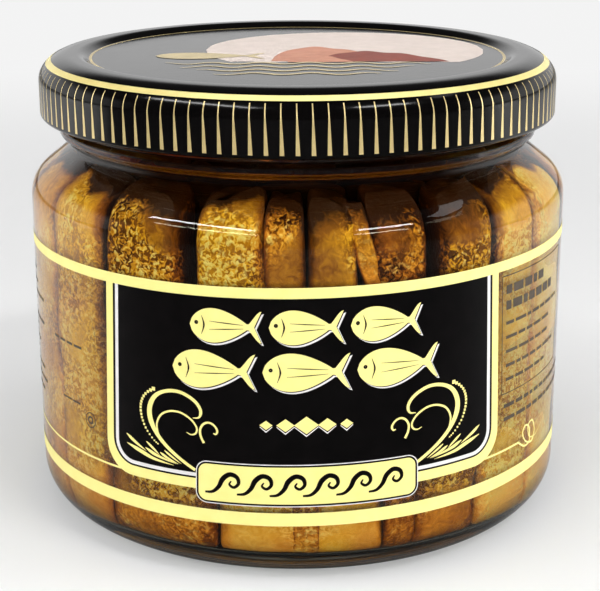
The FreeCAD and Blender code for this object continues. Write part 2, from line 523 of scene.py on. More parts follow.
clear_glass = glass_material()
golden_oil = oil_material()
fish_skin = skin_material()
black_lacquer = coat("black_lacquer", (120, 4, (0.0025, 0.002, 0.002), (0.005, 0.004, 0.004)),
                     (250, 4, 0.10, 0.17), (900, 2, 0.00003, 0.25), IOR=1.5, Specular_IOR_Level=0.28)
label_film = coat("clear_label_film", (90, 4, (0.62, 0.52, 0.38), (0.72, 0.63, 0.48)),
                  (90, 4, 0.25, 0.25), (160, 4, 0.0002, 0.15), Alpha=0.03, Specular_IOR_Level=0.4)
sealing_compound = coat("sealing_compound", (300, 4, (0.55, 0.53, 0.49), (0.64, 0.62, 0.58)),
                        (300, 4, 0.6, 0.6), (800, 3, 0.00005, 0.5))
# each ink: its darker and lighter colour, roughness, shine and metal
inks = {name: ink(name + "_ink", *look) for name, *look in (
    ("lid_gold", (0.60, 0.46, 0.20), (0.70, 0.55, 0.25), 0.3, 0.5, 0.3),
    ("lid_edge", (0.84, 0.70, 0.26), (0.90, 0.77, 0.30), 0.3, 0.5, 0.2),
    ("lid_pale", (0.68, 0.58, 0.52), (0.76, 0.65, 0.59), 0.45, 0.2),
    ("lid_salmon", (0.52, 0.22, 0.14), (0.61, 0.28, 0.18), 0.45, 0.2),
    ("lid_rust", (0.21, 0.04, 0.022), (0.28, 0.055, 0.03), 0.45, 0.2),
    ("cream", (0.91, 0.80, 0.265), (0.95, 0.84, 0.30), 0.45, 0.25),
    ("black", (0.003, 0.002, 0.0022), (0.006, 0.004, 0.0045), 0.4, 0.2),
    ("white", (0.74, 0.72, 0.71), (0.82, 0.80, 0.79), 0.45, 0.25),
    ("fine_dark", (0.055, 0.040, 0.028), (0.085, 0.065, 0.045), 0.5, 0.2),
)}

# ---------------- glass, oil and lid


def thread_bumps(angle, radius, height):
    """Pushes the finish wall out in a six-start thread: each ridge falls along its span."""
    share = (np.degrees(angle) - thread_from) % thread_pitch / thread_span
    ends = np.clip(np.minimum(share, 1 - share) / thread_taper, 0, 1)
    middle = thread_low + thread_fall * (1 - share) + thread_foot / 2
    ridge = 1 - ease(np.abs(height - middle) / (thread_foot / 2) - thread_crest)
    on_wall = (np.abs(radius - finish_radius) < 0.02) & (height > bead_top)
    return radius + on_wall * thread_reach * ends * ridge, height


def inside_outline(bite):
    """The inner face of the glass, moved out into it by a bite."""
    return [
        (0, base_glass + push_up_centre - bite, 0),
        (inner_radius + bite, base_glass - bite, inner_heel_round),
        (inner_radius + bite, inner_corner + bite / 2, shoulder_round - wall),
        (mouth_radius + bite, inner_neck + bite / 2, neck_fillet + wall),
    ]


def build_glass():
    """The jar: one outline from under the base, up the side, over the rim and down inside."""
    corners = [
        (0, push_up_centre, 0),
        (stand_ring_radius - push_up_run, push_up_edge, push_up_round),
        (stand_ring_radius, 0, push_up_round),
        (body_radius, 0, heel_round),
        (body_radius, shoulder_corner, shoulder_round),
        (neck_radius, neck_start, neck_fillet),
        (neck_radius, bead_bottom, bead_round),
        (bead_radius, bead_bottom + bead_slope, bead_round),
        (bead_radius, bead_top - bead_slope, bead_round),
        (finish_radius, bead_top, bead_round),
        (finish_radius, rim_height, rim_round),
        (mouth_radius, rim_height, rim_round),
    ]
    outline = rounded(corners + inside_outline(0)[::-1], 6.0, 0.8)
    piece = make_piece("clear_jar", [turned(outline, 240, thread_bumps)], clear_glass)
    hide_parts("glass_jar")


def build_oil():
    """The oil up to its level, with a small rise where it meets the glass."""
    top = [
        (mouth_radius + oil_bite, oil_level, 0.1),
        (mouth_radius - oil_rise_run, oil_level - oil_rise, oil_rise_round),
        (0, oil_level - oil_rise, 0),
    ]
    outline = rounded(inside_outline(oil_bite) + top, 5.0, 1.0)
    piece = make_piece("oil_fill", [turned(outline)], golden_oil)
    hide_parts("oil")


def lid_top(inset):
    """The lid's face from its middle to the skirt, moved in from the outer face by an inset."""
    shift = inset * math.tan(math.atan2(lid_crest - panel_height, ring_ramp) / 2)
    flat = rounded([
        (0, panel_height - inset, 0),
        (panel_radius + shift, panel_height - inset, ring_foot_round + inset),
        (panel_radius + ring_ramp + shift, lid_crest - inset, ring_crest_round - inset),
        (crest_radius, lid_crest - inset, 0),
    ], 4.0, 1.5)
    turn = np.radians(np.linspace(90, 0, 24))[1:]
    arc = np.stack([crest_radius + (lid_shoulder_run - inset) * np.cos(turn),
                    lid_crest - lid_shoulder_drop + (lid_shoulder_drop - inset) * np.sin(turn)], 1)
    return np.concatenate([flat, arc])


def lug_bumps(angle, radius, height):
    """Presses the curl in at six places, one under each ridge, to catch the thread."""
    half_pitch = thread_pitch / 2
    turn = (np.degrees(angle) - thread_from - lug_place + half_pitch) % thread_pitch - half_pitch
    along = 1 - ease((np.abs(turn) - lug_half) / lug_fade)
    inside_skirt = skirt_radius - curl_radius
    curl = (height < skirt_bottom + lug_height) & (radius < inside_skirt)
    depth = ease((inside_skirt - radius) / (curl_radius * 0.9))
    return radius - curl * along * depth * lug_reach, height


def build_lid():
    """The lid: under its face, round the curl, up the skirt and back over the top."""
    centre = np.array([skirt_radius - curl_radius, skirt_bottom + curl_radius])
    turn = np.radians(np.linspace(0, curl_turn, 34))[:, None]
    bend = np.concatenate([np.cos(turn), -np.sin(turn)], 1)
    inner, outer = lid_top(lid_sheet), lid_top(0)
    rolled_in = centre + bend * (curl_radius - lid_sheet)
    rolled_out = (centre + bend * curl_radius)[::-1]
    outline = np.concatenate([
        inner, straight(inner[-1], rolled_in[0], 0.6), rolled_in,
        rolled_out, straight(rolled_out[-1], outer[-1], 0.6), outer[::-1],
    ])
    made = turned(outline, shape=lug_bumps)
    piece = make_piece("twist_off_lid", [made], black_lacquer)
    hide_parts("lid")


build_glass()
build_oil()
build_lid()
sealing_ring = frame["nodes"]["sealing_ring"]
sealing_ring.data.materials.clear()
sealing_ring.data.materials.append(sealing_compound)

# ---------------- lid print

ink_lift = 0.012            # ink above the lacquer
wedge_count = 118           # strokes round the skirt


def off_lid(radius, lift):
    """Height of the lid's rounded edge at a radius, moved off the face by a lift."""
    share = np.clip((radius - crest_radius) / lid_shoulder_run, 0, 1)
    return lid_crest - lid_shoulder_drop * (1 - np.sqrt(1 - share ** 2)) + lift


def band_on_lid(inner, outer):
    """A printed ring on the lid between two radii, following its rounded edge."""
    radius = np.linspace(outer, inner, 8)[:, None]
    angle = np.linspace(0, FULL_TURN, ROUND_STEPS, endpoint=False)[None, :]
    height = np.where(radius < panel_radius, panel_height + ink_lift, off_lid(radius, ink_lift))
    return surface(round_jar(angle, radius + ink_lift * (radius > crest_radius), height), True)


def skirt_wedges():
    """Gold wedges: thin over the lid's edge, then widening with the drop down the skirt to a power."""
    edge = np.radians(np.linspace(35.5, 0, 9))
    over_radius = crest_radius + (lid_shoulder_run + ink_lift) * np.cos(edge)
    over_height = lid_crest - lid_shoulder_drop + (lid_shoulder_drop + ink_lift) * np.sin(edge)
    down = np.linspace(over_height[-1], skirt_bottom + 0.7, 10)[1:]
    radius = np.concatenate([over_radius, np.full(9, skirt_radius + ink_lift)])
    height = np.concatenate([over_height, down])
    widens_from = over_height[-1] + 0.6
    drop = np.clip((widens_from - height) / (widens_from - down[-1]), 0, 1)
    width = 0.17 + 0.45 * drop ** 0.8
    middle = np.radians(-0.17) + np.arange(wedge_count) * FULL_TURN / wedge_count
    lean = np.radians(0.25) * (height[0] - height) / 7
    side = np.array([-0.5, 0.5])
    angle = (middle[:, None, None] + lean[None, :, None]
             + (width / skirt_radius)[None, :, None] * side[None, None, :])
    grid = round_jar(angle, radius[None, :, None], height[None, :, None])
    return [surface(one[::-1]) for one in grid]


def flat_on_panel(grid, lift):
    """A grid of points on the lid's panel, across to +X and along to +Y, at one lift off it."""
    return np.concatenate([grid, np.full((*grid.shape[:2], 1), panel_height + lift)], -1)


def ribbon(path, width):
    """A path's points moved half a width to each side, as a grid (points, 2, 2)."""
    way = np.gradient(path, axis=0)
    way /= np.linalg.norm(way, axis=1)[:, None]
    side = np.stack([way[:, 1], -way[:, 0]], 1) * (np.asarray(width) / 2).reshape(-1, 1)
    return np.stack([path - side, path + side], 1)


def fish_mark(length, height):
    """A plain fish from nose to tail: two edges, half a height times a body curve, with a forked tail."""
    share = np.linspace(0, 1, 36)
    body = np.sin(np.pi * np.clip(share / 0.84, 0, 1) ** 0.72) ** 0.8 * 0.5
    tail = ease((share - 0.76) / 0.24) * 0.46
    half = np.maximum(np.maximum(body, 0.055 * (share > 0.02)), tail) * height
    notch = np.array([-1.0, -0.5, 0.0, 0.5, 1.0])
    back = ease((share - 0.80) / 0.20)[:, None] * 0.10 * (1 - np.abs(notch)[None, :])
    across = (share[:, None] - back - 0.5) * length
    return np.stack([across, half[:, None] * notch[None, :]], -1)


def upright(left, right, low, high, lift):
    """A filled shape on the panel between two heights along it, at even steps across."""
    share = np.linspace(0, 1, 9)[None, :]
    across = np.linspace(left, right, len(low))[:, None]
    along = low[:, None] + (high - low)[:, None] * share
    return surface(flat_on_panel(pairs(across, along), lift)[:, ::-1][::-1])


def build_lid_print():
    """The gold ring and wedges, the line round the edge, and a plain device of swells and a fish."""
    gold = skirt_wedges() + [band_on_lid(31.85, 32.30)]
    edge = [band_on_lid(38.10, 38.95)]
    # the pale field: round above, cut off along a wavy shore below
    share = np.linspace(-1, 1, 90)
    rim = 20.5 * np.sqrt(1 - share ** 2)
    shore = np.maximum(-rim, -12.6 + 0.5 * np.sin(share * 15))
    field_middle = 4.6
    pale = [upright(-14.5, 29.5, field_middle + shore, field_middle + rim + 0.02, ink_lift)]
    # four wavy lines and a fish
    for row in range(4):
        rises = 0.8 * np.sin(share * (17 - 2.6 * row))
        path = np.stack([share * (20 - 2.6 * row), -9.6 - 3.3 * row + rises], 1)
        strip = ribbon(path, 0.9 * np.sqrt(1 - 0.98 * share ** 2))
        gold.append(surface(flat_on_panel(strip, ink_lift * 5)))
    mark = fish_mark(17, 6.5) + [-13.5, -2.0]
    gold.append(surface(flat_on_panel(mark, ink_lift * 5)[:, ::-1]))
    # three swells: left, right, low, peak, layer
    rust, salmon = [], []
    share = np.linspace(0, 1, 40)
    for made, left, right, low, peak, layer in (
        (salmon, -4.0, 14.5, -7.5, 15.0, 2),
        (rust, 3.5, 23.0, -8.0, 10.5, 3),
        (salmon, -1.5, 8.5, -8.5, 7.0, 4),
    ):
        swell = np.sin(np.pi * share ** 0.7) ** 0.8 * peak
        swell = swell + 0.6 * np.sin(share * 21) * np.sin(np.pi * share)
        swell = low + np.maximum(swell, 0.02)
        made.append(upright(left, right, low + 0 * share, swell, ink_lift * layer))
    for name, made in (("lid_gold", gold), ("lid_edge", edge), ("lid_rust", rust),
                       ("lid_salmon", salmon), ("lid_pale", pale)):
        make_piece(name + "_print", made, inks[name])


build_lid_print()

# ---------------- label


def patch(grid, layer):
    """A grid of label millimetres wrapped on the film, its faces outwards.

    angle = middle + across * (1 + flare * drop) / radius. The label's own lean adds height
    with the sine of the angle, and each layer of ink lies a step further out.
    """
    across, height = grid[..., 0], grid[..., 1]
    flare = label_flare * (1 - ease((np.abs(across) - flare_half) / flare_fade))
    angle = label_middle + across * (1 + flare * (flare_from - height)) / body_radius
    lifted = height + label_lean * body_radius * np.sin(angle)
    points = round_jar(angle, film_outer + print_step * layer, lifted)
    corner = points[0, 0]
    outwards = np.cross(points[0, 1] - corner, points[1, 0] - corner) @ (corner * [1, 1, 0]) > 0
    return surface(points if outwards else points[:, ::-1])


def stroke(spots, widths, layer, count=40):
    """An inked line: a smooth path through the spots with a width that runs through the widths."""
    path = smooth_path(spots, count)
    share = np.linspace(0, 1, count)
    width = np.interp(share, np.linspace(0, 1, len(widths)), widths)
    return patch(ribbon(path, width), layer)


def tab(half_width, low, high, corner, layer, upper_corner=0.0, shift=0.0):
    """A panel with rounded lower corners: half width less corner * (1 - sqrt(1 - s^2)) near an end."""
    share = (1 - np.cos(np.linspace(0, np.pi, 40))) / 2
    height = low + (high - low) * share
    under = np.clip((low + corner - height) / corner, 0, 1)
    over = np.clip((height - high + upper_corner) / max(upper_corner, 1e-6), 0, 1)
    half = (half_width - corner * (1 - np.sqrt(1 - under ** 2))
            - upper_corner * (1 - np.sqrt(1 - over ** 2)))
    across = np.linspace(-1, 1, 97)[None, :]
    return patch(pairs(shift + half[:, None] * across, height[:, None]), layer)


def bar(left, right, low, high, layer):
    """A plain strip along the label, cut every 0.7 mm so that it follows the jar."""
    count = max(2, int(abs(right - left) / 0.7) + 2)
    across = np.linspace(left, right, count)[None, :]
    return patch(pairs(across, np.array([[low], [high]])), layer)


def ring_mark(centre, radius, width, layer):
    """A small circle in ink."""
    turn = np.linspace(0, FULL_TURN, 33)
    return patch(ribbon(centre + radius * pairs(np.cos(turn), np.sin(turn)), width), layer)


def scroll_work(way, layer):
    """One of the two mirrored scroll ornaments: C scrolls, a comma, a bead line and leaves."""
    big = [(21.3, 17.0), (23.3, 17.85), (25.3, 18.8), (27.3, 19.9), (29.0, 21.1), (30.3, 22.4),
           (31.1, 23.7), (31.35, 25.0), (31.0, 26.2), (30.1, 27.3), (28.6, 28.1), (26.6, 28.55),
           (24.6, 28.55), (22.8, 28.1), (21.3, 27.4), (20.35, 26.5), (20.15, 25.7), (20.6, 25.05),
           (21.8, 24.9)]
    small = [(28.5, 20.7), (29.3, 21.8), (29.65, 23.0), (29.2, 24.1), (28.3, 24.9), (26.9, 25.4),
             (25.5, 25.55), (24.1, 25.4), (22.7, 24.9), (21.7, 24.3), (21.0, 23.5), (21.0, 22.9),
             (21.4, 22.5), (22.2, 22.35), (23.1, 22.6)]
    comma = [(19.5, 21.3), (20.1, 22.2), (20.3, 23.1), (19.9, 23.9), (19.2, 24.35), (18.4, 24.45),
             (17.6, 24.2), (17.0, 23.7), (16.8, 23.2), (17.1, 22.8), (17.6, 22.9)]
    leaves = [
        ([(36.9, 19.15), (33.3, 18.35), (30.3, 17.65), (25.8, 17.2)], 0.62),
        ([(37.0, 20.6), (34.8, 19.6), (32.1, 18.6)], 0.50),
        ([(32.3, 19.1), (29.8, 18.3), (25.3, 17.5)], 0.50),
        ([(32.1, 20.1), (30.4, 19.2), (29.0, 18.4)], 0.38),
        ([(28.9, 18.85), (27.3, 18.2), (24.8, 17.5)], 0.40),
        ([(27.9, 19.25), (26.3, 18.5), (24.2, 17.6)], 0.32),
    ]
    beads = smooth_path([(30.4, 28.4), (31.7, 27.8), (32.7, 27.0), (33.25, 26.1), (33.45, 25.2),
                         (33.3, 24.15), (32.9, 23.2), (32.25, 22.2), (31.3, 21.3), (30.2, 20.5),
                         (29.4, 20.1)], 21)
    turn = np.array([way * DEGREE, 1])
    made = []
    for spots, widths in (
        (big, [0.45, 0.5, 0.62, 0.85, 0.8, 0.55, 0.5, 0.5, 0.45, 0.1]),
        (small, [0.12, 0.3, 0.32, 0.3, 0.3, 0.28, 0.28, 0.1]),
        (comma, [0.36, 0.34, 0.32, 0.3, 0.32, 0.16]),
    ):
        made.append(stroke(spots * turn, widths, layer, 90))
    for spots, width in leaves:
        widths = [0.1, width * 0.9, width, width * 0.8, width * 0.5, 0.03]
        made.append(stroke(spots * turn, widths, layer, 24))
    sizes = np.interp(np.linspace(0, 1, len(beads)), [0, 0.08, 0.5, 1], [0.56, 0.40, 0.38, 0.22])
    for (across, height), half in zip(beads * turn, sizes / 2):
        made.append(bar(across - half, across + half, height - half, height + half, layer))
    return made


def fish_row(middles, height, length, depth, made, layer):
    """Plain fish in a row, each with a thin white edge below and behind it, an eye and a gill line."""
    cream, white, black = made
    mark = fish_mark(length, depth)
    for middle in middles:
        place = np.array([middle, height])
        white.append(patch(mark + place + [0.32, -0.34], layer))
        black.append(patch(mark + place + [0.12, -0.13], layer + 1))
        cream.append(patch(mark + place, layer + 2))
        black.append(ring_mark(place + [-length * 0.405, depth * 0.06], 0.16, 0.26, layer + 3))
        for spots, widths, count in (
            ([(-0.33, 0.27), (-0.295, 0), (-0.33, -0.27)], [0.05, 0.28, 0.05], 14),
            ([(-0.22, 0.12), (0.25, 0.054)], [0.04, 0.16, 0.04], 8),
            ([(-0.22, -0.12), (0.25, -0.054)], [0.04, 0.16, 0.04], 8),
        ):
            line = place + np.array(spots) * [length, depth]
            black.append(stroke(line, widths, layer + 3, count))


def wave_border(half_width, middle, layer):
    """A running wave: each wave is a rising hook that ends in a curl."""
    made = []
    pitch = 4.6
    count = int(2 * half_width / pitch)
    hook = np.array([(-2.3, -1.5), (-1.2, -1.35), (-0.3, -0.5), (0.3, 0.75), (1.3, 1.5), (2.3, 1.15),
                     (2.55, 0.2), (1.9, -0.45), (1.25, -0.05), (1.5, 0.5)])
    for number in range(count):
        start = (number - (count - 1) / 2) * pitch - 0.3
        made.append(stroke(hook + [start, middle], [0.3, 0.55, 0.75, 0.7, 0.5, 0.42, 0.2], layer, 36))
    return made


def small_lines(left, right, top, drop, count, seed, thick):
    """Rows of short dark strips that stand for small print, from the top row down."""
    draw = np.random.default_rng(seed)
    made = []
    for height in top - drop * np.arange(count):
        start = left
        end = left + (right - left) * draw.uniform(0.62, 1.0)
        while start < end - 0.8:
            run = min(draw.uniform(0.9, 3.0), end - start)
            made.append(bar(start, start + run, height, height + thick, 1))
            start += run + 0.45
    return made


def frame_lines(left, right, low, high, thick):
    """A thin box."""
    return [bar(*side, 1) for side in (
        (left, right, low, low + thick), (left, right, high - thick, high),
        (left, left + thick, low, high), (right - thick, right, low, high),
    )]


def build_film():
    """The clear film: a thin section carried round the jar, open at the back."""
    end = math.pi - film_gap / 2
    angle = np.linspace(-end, end, 300)[:, None]
    low, high, edge = film_bottom + 0.02, film_top - 0.02, 0.25
    middle = (low + high) / 2
    heights = np.array([low, low + edge, middle, high - edge, high])
    height = np.concatenate([heights, heights[::-1]])[None, :]
    radius = np.concatenate([np.full(5, film_outer), np.full(5, film_inner)])[None, :]
    lifted = height + label_lean * body_radius * np.sin(angle)
    grid = round_jar(angle, radius, lifted)[:, ::-1]
    ends = [round_jar(side, (film_inner + film_outer) / 2, middle) for side in (-end, end)]
    piece = make_piece("label_film", [surface(grid, True, *ends)], label_film)
    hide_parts("label")


def build_label_print():
    """All the ink on the film, from the bands round the jar to the front panel's ornament."""
    start = -label_middle * body_radius
    reach = math.radians(175) * body_radius
    cream, black, white, fine = [], [], [], []
    for low, high in ((9.2, 11.22), (43.0, 44.55)):
        cream.append(bar(start - reach, start + reach, low, high, 1))
    # the front panel: one tab inside another
    for made, *row in (
        (cream, 31.05, 14.2, 43.2, 4.9, 1),
        (black, 29.70, 15.75, 43.0, 3.9, 2),
        (white, 29.25, 16.05, 43.0, 3.5, 3),
        (black, 28.65, 16.60, 43.0, 3.0, 4),
    ):
        made.append(tab(*row))
    for way in (-1, 1):
        cream += scroll_work(way, 5)
    for middles, height, length, depth in (
        ([-11.2, 0.2, 11.6], 38.9, 10.4, 5.0),
        ([-13.0, 0.2, 13.4], 32.4, 12.2, 5.6),
    ):
        fish_row(middles, height, length, depth, (cream, white, black), 5)
    # a row of lozenges
    for across, size in ((-5.4, 0.9), (-2.7, 1.25), (0.2, 1.7), (3.1, 1.25), (5.8, 0.9)):
        for layer, made, grow in ((5, white, 0.28), (6, black, 0.14), (7, cream, 0.0)):
            line = [(across + step * size, 24.6 - grow) for step in (-1, 0, 1)]
            made.append(stroke(line, [0.03, size * 1.55 + grow, 0.03], layer, 21))
    # the plate below the panel, with its running wave
    for made, inset, layer in ((white, 0.0, 8), (black, 0.14, 9), (cream, 0.42, 10)):
        corner = 1.7 - inset
        made.append(tab(15.9 - inset, 12.2 + inset, 18.68 - inset, corner, layer, corner, 0.4))
    black += wave_border(14.2, 15.4, 11)
    # the thin line round the sides, with a flourish at its right end
    cream.append(bar(start - reach, -28.3, 14.62, 14.95, 1))
    cream.append(bar(28.3, 36.6, 14.62, 14.95, 1))
    flourish = [(36.4, 14.8), (38.4, 13.6), (40.2, 13.9), (40.0, 16.2), (38.6, 16.9), (37.8, 15.8),
                (38.9, 14.2), (41.2, 13.6), (42.2, 15.2), (41.2, 17.0), (39.6, 16.6), (40.2, 14.6),
                (42.6, 14.2), (45.0, 15.2)]
    cream.append(stroke(flourish, [0.28, 0.32, 0.3, 0.3, 0.1], 1, 110))
    # strips in the place of small print: left, right, top, drop, count, seed, thickness
    fine += frame_lines(31.9, 52.0, 23.8, 42.2, 0.16)
    for rows in (
        (32.9, 51.0, 39.3, 2.4, 2, 3, 1.35),
        (32.9, 51.0, 34.6, 2.2, 5, 4, 0.5),
        (32.5, 60.0, 21.6, 2.1, 2, 5, 0.6),
        (-45.5, -35.2, 31.2, 0, 1, 6, 0.4),
        (-43.0, -36.6, 22.3, 0, 1, 7, 0.28),
        (-76.0, -50.0, 38.8, 1.9, 11, 8, 0.5),
        (64.0, 92.0, 39.3, 1.9, 9, 9, 0.5),
    ):
        fine += small_lines(*rows)
    fine.append(ring_mark((-34.9, 20.6), 1.15, 0.18, 1))
    fine.append(ring_mark((-34.9, 20.6), 0.5, 0.3, 1))
    make_piece("label_cream_ink", cream, inks["cream"])
    make_piece("label_black_ink", black, inks["black"])
    make_piece("label_white_ink", white, inks["white"])
    make_piece("label_small_print", fine, inks["fine_dark"])


build_film()
build_label_print()

# ---------------- fish

inside = rounded(inside_outline(0))
inside = inside[inside[:, 1].argmin():]


def wall_at(height):
    """The inner radius of the glass at a height, read off its outline."""
    return np.interp(height, inside[:, 1], inside[:, 0])


def fish_body(top, foot, wide, stout, high, tone, warm, glint, seed, ring=fish_ring, depth=fish_depth,
              low=None, rows=164, columns=66):
    """One headless fish standing on end, as a closed surface, and its skin values, with painted shade and
    light in its tone.

    With u round the body and v along it, across = half width * end(v) * |cos u|^(2/n)
    and deep = half depth * end(v) * |sin u|^(2/n), both with the sign of the cosine or
    sine. end(v) = (1 - |2v - 1|^p)^(1/p), with a larger p at the foot than at the tail.
    Across then runs round the jar, from the foot's angle and width to the top's, and
    deep along its radius, where a soft minimum keeps it inside the glass.
    """
    draw = np.random.default_rng(seed)

    def uneven(pitch, number, count):
        return waves(across, deep, height, pitch, seed + number, count)

    def sway(length, number, count):
        return waves(along * length, 0 * along, 0 * along, 20, seed + number, count)

    # its outline round and along, then its place across, deep and high
    low = base_glass + draw.uniform(0.5, 0.75) if low is None else low
    even = np.linspace(0, 1, rows + 2)[1:-1]
    along = (even - 0.85 * np.sin(FULL_TURN * even) / FULL_TURN)[:, None]
    turn = np.linspace(0, FULL_TURN, columns, endpoint=False)
    turn = (turn + 0.5 * np.cos(turn))[None, :]
    power = np.where(along < 0.5, 36.0, draw.uniform(9.0, 13.0))
    end = (1 - np.abs(2 * along - 1) ** power) ** (1 / power)
    square = 2 / draw.uniform(3.0, 4.3)
    tilt = draw.uniform(-1.1, 1.1)
    rise = ease(along * 1.1 - 0.05)
    half = np.radians(stout + (wide - stout) * rise) * ring / 2 * (1 + 0.06 * sway(50, 5, 5))
    side = np.sign(np.cos(turn)) * np.abs(np.cos(turn)) ** square * end
    across = side * half
    deep = np.sign(np.sin(turn)) * np.abs(np.sin(turn)) ** square * end * depth / 2
    height = low + (high - low) * along + 0 * turn
    ragged = waves(across, deep, 0 * deep + seed, 4.8, seed + 1, 10)
    height = height + (ragged * 0.5 + side * tilt) * ease((along - 0.90) / 0.10)

    # glinting patches for gloss and painted highlights, creases in them, and the surface kept inside the
    # glass
    foil = ease(0.42 + uneven(12, 2, 8) + 0.45 * ease((49.5 - height) / 3))
    shine = glint * foil * (1 - 0.6 * ease((height - 50.5) / 4))
    slant = draw.uniform(-0.9, 0.9)
    pitch = draw.uniform(1.9, 2.6)
    crease = 1 - 2 * np.abs(np.sin(np.pi * (height + slant * across) / pitch + 2.2 * uneven(6, 3, 10)))
    lump = uneven(8, 6, 10)
    radius = ring + deep + 0.30 * lump * np.clip(end * 1.2 - 0.2, 0, 1)
    over = radius - (wall_at(height) - glass_gap)
    radius = radius - 0.5 * (over + np.sqrt(over ** 2 + 0.16)) + 0.09 * crease * shine + 0.05 * lump
    angle = np.radians(foot + (top - foot) * rise) + across / ring
    angle = angle + 0.012 * sway(60, 8, 4) * (1 - np.abs(side))
    points = round_jar(angle, np.maximum(radius, 0.2), height)
    made = surface(points, True, points[0].mean(axis=0), points[-1].mean(axis=0))

    # painted shade: darker at the sides, where the fish meet, and at the top under the lid; painted
    # light: lighter where they glint and low down, also browner low down
    edge = ease((np.abs(side) - 0.62) / 0.36)
    low_part = ease((brown_zone - height) / brown_fade)
    shade = tone + 0.11 * uneven(13, 7, 7) + 0.12 * shine + 0.12 * low_part
    shade = shade - 0.30 * edge - 0.6 * ease((np.abs(side) - 0.94) / 0.06)
    shade = shade - 0.45 * ease((along - 0.975) / 0.02) - 1.1 * (1 - end) * (along > 0.5)
    shade = shade - 0.38 * ease((height - 50.0) / 3.5) * ease((62 - abs(top)) / 16)
    brown = warm + 0.6 * edge + 0.30 * uneven(10, 9, 6) + 0.80 * low_part
    shine = shine * (1 - 0.5 * edge) * (1 - 0.5 * low_part)
    grids = (shade, np.clip(brown, 0, 1), np.clip(shine, 0, 1))
    return made, [np.concatenate([grid.ravel(), [grid[0].mean(), grid[-1].mean()]]) for grid in grids]


def shoal(name, rows):
    """Several fish as one piece."""
    made = [fish_body(**row) for row in rows]
    values = zip(*[grids for _, grids in made])
    make_piece(name, [one for one, _ in made], fish_skin, dict(zip(skin_values, values)))


def standing(*row):
    """A fish's values by name, its angles spread a little from those seen on the outside of the glass."""
    angles = ("top", "foot", "wide", "stout")
    values = dict(zip((*angles, "high", *skin_values, "seed"), row))
    return {**values, **{key: values[key] * sight_spread for key in angles}}


def outer_fish():
    """The fish against the glass, from the left of the front round by the right.

    Those at the front are listed one by one, the rest at even steps with seeded changes.
    """
    rows = [standing(*row) for row in (
        (-68.0, -66.0, 18.6, 21.0, 53.6, 0.74, 0.20, 0.45, 101),
        (-50.6, -50.0, 17.0, 18.2, 53.8, 0.68, 0.20, 0.65, 112),
        (-32.4, -29.2, 18.2, 26.0, 54.2, 0.44, 0.08, 1.00, 123),
        (-13.3, -7.3, 13.6, 18.2, 54.6, 0.72, 0.05, 1.00, 134),
        (-2.7, 1.5, 8.9, 5.4, 54.2, 0.40, 0.35, 1.00, 145),
        (6.6, 9.6, 10.2, 16.6, 54.3, 0.58, 0.05, 1.00, 156),
        (19.6, 20.5, 11.6, 7.6, 54.6, 0.14, 0.65, 0.70, 167),
        (35.4, 31.5, 14.4, 17.0, 53.8, 0.42, 0.25, 0.80, 178),
        (49.7, 48.0, 13.4, 17.4, 54.2, 0.80, 0.05, 1.00, 189),
        (65.0, 65.0, 18.4, 19.0, 53.8, 0.98, 0.10, 0.90, 200),
    )]
    draw = np.random.default_rng(41)
    count = 13
    first, last = 74.2, 340 - 77.5
    step = (last - first) / count
    for number in range(count):
        middle = first + (number + 0.5) * step
        top, foot = middle + draw.uniform(-2.6, 2.6, 2)
        row = standing(top, foot, step * draw.uniform(0.86, 1.06), step * draw.uniform(0.94, 1.12),
                       draw.uniform(52.6, 54.6), draw.uniform(0.45, 1.0), draw.uniform(0.05, 0.8),
                       draw.uniform(0.4, 1.0), 211 + 11 * number)
        rows.append({**row, "ring": draw.uniform(33.6, 34.6)})
    return rows


def inner_fish(ring, count, seed):
    """A ring of fish behind the outer ones, with fewer points because little of them shows, and a low
    tone that paints the shade in the jar's middle.
    """
    draw = np.random.default_rng(seed)
    turn = 340 / count
    rows = []
    for number in range(count):
        middle = (number + draw.uniform(-0.1, 0.1)) * turn
        row = standing(middle, middle, turn * 0.98, turn * 0.98, draw.uniform(50, 54),
                       draw.uniform(-0.15, 0.05), 0.9, 0.0, seed + 11 * number)
        rows.append({**row, "ring": ring, "low": base_glass + 2.2, "rows": 60, "columns": 28})
    return rows


def slim_piece():
    """A narrow strip of fish that leans across the gap between two others."""
    row = standing(11.4, 16.6, 4.2, 5.0, 54.0, 0.55, 0.6, 0.3, 977)
    return {**row, "ring": 37.0, "depth": 4.0, "low": 38.0, "rows": 110, "columns": 36}


outer = outer_fish()
shoal("fish_front", outer[2:9] + [slim_piece()])
shoal("fish_left", outer[:2] + outer[18:])
shoal("fish_right", outer[9:14])
shoal("fish_back", outer[14:18])
shoal("fish_middle", inner_fish(23.5, 13, 500) + inner_fish(12.5, 7, 700) + inner_fish(3.0, 1, 900))

# ---------------- floor, lamps and camera

surround = (0.90, 0.90, 0.90, 1)


